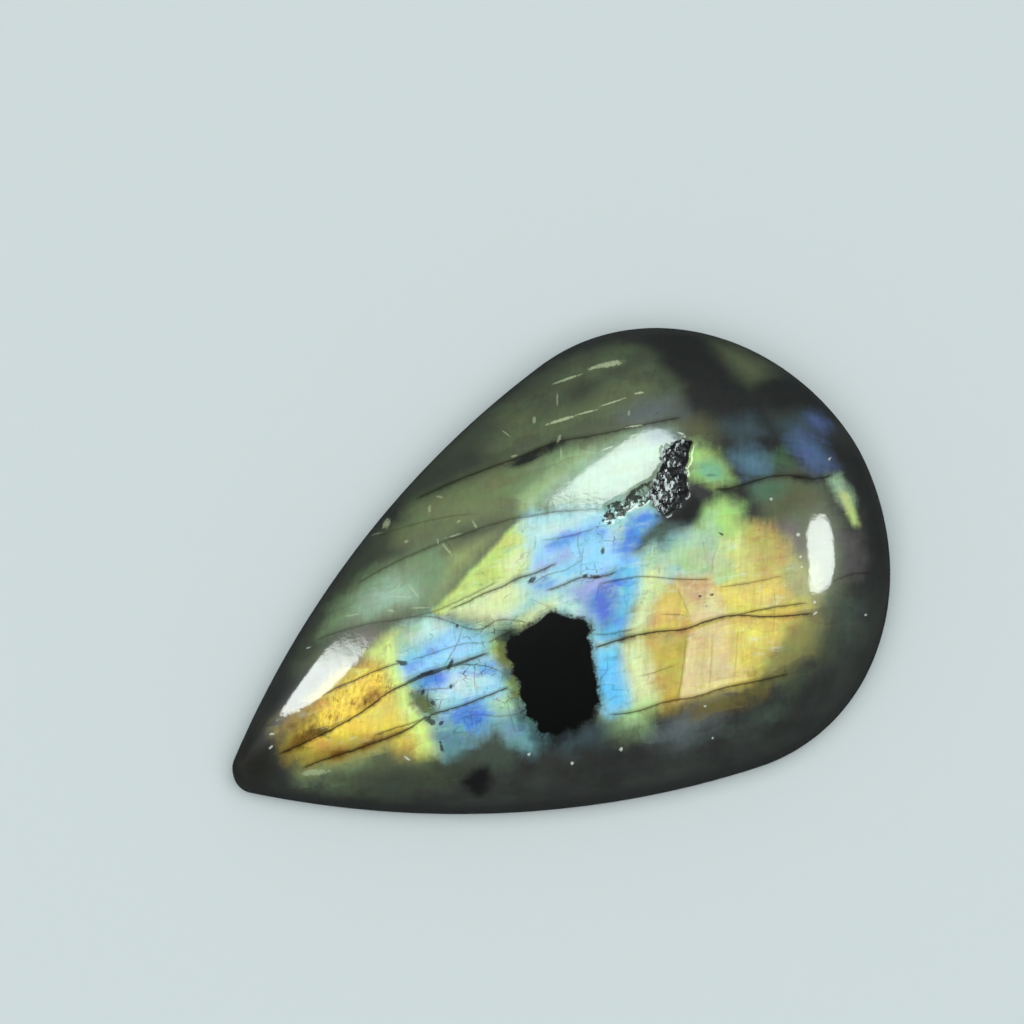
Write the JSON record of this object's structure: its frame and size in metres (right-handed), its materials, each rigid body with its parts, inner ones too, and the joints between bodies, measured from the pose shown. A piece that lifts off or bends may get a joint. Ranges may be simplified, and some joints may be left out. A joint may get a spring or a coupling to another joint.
{
  "type": "labradorite pear cabochon",
  "caption": "Pear-shaped polished labradorite cabochon with a domed face, thin girdle, flat back and a rough unpolished hollow beside the crown.",
  "frame": {"origin": "on the flat back, under the middle of the outline's bounding box", "axes": "+X towards the round end with the point at -X, +Z out of the domed face, the flat back on z = 0"},
  "size_m": [0.038, 0.0252, 0.008],
  "materials": {
    "polished_labradorite": "glossy"
  },
  "bodies": {
    "root": {"cabochon": "polished_labradorite"}
  },
  "joints": []
}
